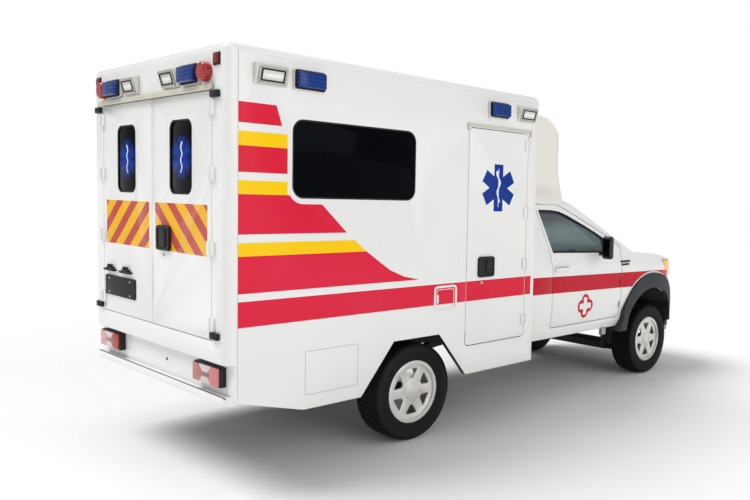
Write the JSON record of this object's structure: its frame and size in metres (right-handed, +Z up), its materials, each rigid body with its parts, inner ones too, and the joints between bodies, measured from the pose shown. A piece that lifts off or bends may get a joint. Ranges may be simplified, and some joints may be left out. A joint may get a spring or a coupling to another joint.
{
  "type": "box body ambulance",
  "caption": "Ambulance: a white box body with rear and side doors on a single-cab pickup chassis, red and yellow side bands, blue beacons.",
  "frame": {"origin": "on the ground under the centre of the whole vehicle", "axes": "+X forward, +Y to the left, +Z up"},
  "size_m": [5.738, 2.202, 2.652],
  "materials": {
    "black_plastic": "grained black",
    "blue_lens": "clear blue",
    "box_paint": "gloss white",
    "cab_paint": "gloss white",
    "cast_metal": "rough cast",
    "clear_lens": "clear",
    "dark_glass": "black privacy glass",
    "floor_metal": "matte grey floor covering",
    "frame_paint": "satin black chassis paint",
    "glass": "tinted",
    "lamp_bezel": "off-white",
    "red_lens": "clear red",
    "rim_paint": "silver paint",
    "seat_fabric": "woven dark grey",
    "tyre_rubber": "matte black"
  },
  "bodies": {
    "root": {"beacon_lenses": "blue_lens", "box_floor": "floor_metal", "box_roof": "box_paint", "box_wall_front": "box_paint", "box_wall_left": "box_paint", "box_wall_right": "box_paint", "cab_seats": "seat_fabric", "cab_shell": "cab_paint", "chassis_frame": "frame_paint", "cowl_panel": "cab_paint", "dashboard": "black_plastic", "driveline": "frame_paint", "engine_block": "cast_metal", "front_bumper": "cab_paint", "front_fender_left": "cab_paint", "front_fender_right": "cab_paint", "front_suspension": "frame_paint", "fuel_tank": "frame_paint", "grille": "black_plastic", "headlamps": "clear_lens", "lamp_housings": "lamp_bezel", "leaf_springs": "frame_paint", "nose_panel": "cab_paint", "rear_axle": "frame_paint", "rear_frame": "box_paint", "rear_skirt": "box_paint", "red_lenses": "red_lens", "roof_fairing": "cab_paint", "side_windows": "dark_glass", "tail_lamps": "black_plastic", "wheel_flares": "black_plastic", "windscreen": "glass", "work_lenses": "clear_lens"},
    "rear_door_left": {"rear_door_left": "box_paint", "rear_glass_left": "dark_glass", "plate_holder": "black_plastic"},
    "rear_door_right": {"rear_door_right": "box_paint", "rear_glass_right": "dark_glass", "rear_door_latch": "black_plastic"},
    "side_door": {"side_door": "box_paint", "side_door_latch": "black_plastic"},
    "cab_door_left": {"cab_door_left": "cab_paint", "cab_glass_left": "glass", "mirror_left": "black_plastic"},
    "cab_door_right": {"cab_door_right": "cab_paint", "cab_glass_right": "glass", "mirror_right": "black_plastic"},
    "hood": {"hood": "cab_paint"},
    "steering_wheel": {"steering_wheel": "black_plastic"},
    "knuckle_left": {"knuckle_left": "frame_paint"},
    "knuckle_right": {"knuckle_right": "frame_paint"},
    "wheel_front_left": {"tyre_front_left": "tyre_rubber", "rim_front_left": "rim_paint"},
    "wheel_front_right": {"tyre_front_right": "tyre_rubber", "rim_front_right": "rim_paint"},
    "wheel_rear_left": {"tyre_rear_left": "tyre_rubber", "rim_rear_left": "rim_paint"},
    "wheel_rear_right": {"tyre_rear_right": "tyre_rubber", "rim_rear_right": "rim_paint"}
  },
  "joints": [
    {"name": "rear_door_left_hinge", "type": "hinge", "parent": "root", "child": "rear_door_left", "pos_m": [-2.827, 0.8, 1.65], "axis": [0, 0, -1], "range_deg": [0, 160]},
    {"name": "rear_door_right_hinge", "type": "hinge", "parent": "root", "child": "rear_door_right", "pos_m": [-2.827, -0.8, 1.65], "axis": [0, 0, 1], "range_deg": [0, 160]},
    {"name": "side_door_hinge", "type": "hinge", "parent": "root", "child": "side_door", "pos_m": [-0.16606, -0.983, 1.5], "axis": [0, 0, 1], "range_deg": [0, 100]},
    {"name": "cab_door_left_hinge", "type": "hinge", "parent": "root", "child": "cab_door_left", "pos_m": [1.409, 0.887, 0.9], "axis": [0, 0, -1], "range_deg": [0, 65]},
    {"name": "cab_door_right_hinge", "type": "hinge", "parent": "root", "child": "cab_door_right", "pos_m": [1.409, -0.887, 0.9], "axis": [0, 0, 1], "range_deg": [0, 65]},
    {"name": "hood_hinge", "type": "hinge", "parent": "root", "child": "hood", "pos_m": [1.63908, 0, 1.29778], "axis": [0, -1, 0], "range_deg": [0, 50]},
    {"name": "steer_left", "type": "hinge", "parent": "root", "child": "knuckle_left", "pos_m": [2.017, 0.64, 0.3625], "axis": [0, 0, 1], "range_deg": [-32, 32]},
    {"name": "steer_right", "type": "hinge", "parent": "root", "child": "knuckle_right", "pos_m": [2.017, -0.64, 0.3625], "axis": [0, 0, 1], "range_deg": [-32, 32]},
    {"name": "steering_wheel_turn", "type": "hinge", "parent": "root", "child": "steering_wheel", "pos_m": [1.017, 0.37, 1.175], "axis": [-0.8829, 0, 0.4695], "range_deg": [-512, 512]},
    {"name": "front_left_spin", "type": "hinge", "parent": "knuckle_left", "child": "wheel_front_left", "pos_m": [2.017, 0.747, 0.3625], "axis": [0, 1, 0], "continuous": true},
    {"name": "front_right_spin", "type": "hinge", "parent": "knuckle_right", "child": "wheel_front_right", "pos_m": [2.017, -0.747, 0.3625], "axis": [0, 1, 0], "continuous": true},
    {"name": "rear_left_spin", "type": "hinge", "parent": "root", "child": "wheel_rear_left", "pos_m": [-1.264, 0.735, 0.3625], "axis": [0, 1, 0], "continuous": true},
    {"name": "rear_right_spin", "type": "hinge", "parent": "root", "child": "wheel_rear_right", "pos_m": [-1.264, -0.735, 0.3625], "axis": [0, 1, 0], "continuous": true}
  ],
  "couplings": [
    {"joint": "steer_right", "follows": "steer_left", "ratio": 1},
    {"joint": "steering_wheel_turn", "follows": "steer_left", "ratio": 16}
  ]
}
